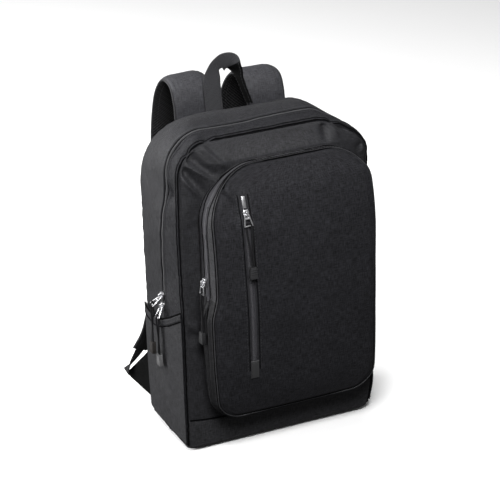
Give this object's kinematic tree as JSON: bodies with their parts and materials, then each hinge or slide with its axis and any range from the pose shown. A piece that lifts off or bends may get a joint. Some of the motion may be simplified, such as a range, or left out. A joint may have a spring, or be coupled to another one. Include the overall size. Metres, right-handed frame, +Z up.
{
  "type": "rucksack",
  "caption": "Upright cloth rucksack with a zipped main compartment, a deep zipped front pocket with a slot pocket, open side pockets, padded shoulder straps and a webbing grab handle.",
  "frame": {"origin": "middle of the flat underside of the base, on the surface that the rucksack stands on", "axes": "+Z up, +X to the left shoulder strap's opposite side (the viewer's right from the front), -Y out of the front"},
  "size_m": [0.303, 0.2731, 0.4846],
  "materials": {
    "cloth": "fine charcoal polyester weave with a slight sheen",
    "boot_cloth": "coarser charcoal weave",
    "back_cloth": "charcoal padded weave",
    "strap_padding": "charcoal weave over foam, black spacer mesh on the inner side",
    "webbing": "dense ribbed webbing",
    "zip_tape": "coil zip on woven tape",
    "zip_metal": "satin plated zinc",
    "pull_cord": "braided round cord",
    "pull_tip": "matt moulded grey rubber"
  },
  "bodies": {
    "root": {"front_gusset": "cloth", "rear_gusset": "cloth", "front_panel": "cloth", "pocket_gusset_face": "cloth", "pocket_gusset_base": "cloth", "pocket_face": "cloth", "side_pocket_left": "cloth", "side_pocket_right": "cloth", "side_hem_left": "cloth", "side_hem_right": "cloth", "front_boot": "boot_cloth", "base_panel": "boot_cloth", "back_panel": "back_cloth", "shoulder_strap_left": "strap_padding", "shoulder_strap_right": "strap_padding", "strap_webbing_left": "webbing", "strap_webbing_right": "webbing", "strap_wing_left": "webbing", "strap_wing_right": "webbing", "grab_handle": "webbing", "main_zip": "zip_tape", "pocket_zip": "zip_tape", "slot_zip": "zip_tape", "slot_top_stop": "zip_metal", "main_upper_slider": "zip_metal", "main_upper_link": "zip_metal", "main_lower_slider": "zip_metal", "main_lower_link": "zip_metal", "pocket_slider": "zip_metal", "pocket_link": "zip_metal", "slot_slider": "zip_metal", "slot_link": "zip_metal", "main_upper_cord": "pull_cord", "main_lower_cord": "pull_cord", "pocket_cord": "pull_cord", "slot_cord": "pull_cord", "main_upper_tip": "pull_tip", "main_lower_tip": "pull_tip", "pocket_tip": "pull_tip", "slot_tip": "pull_tip", "slot_end_patch": "pull_tip"}
  },
  "joints": []
}
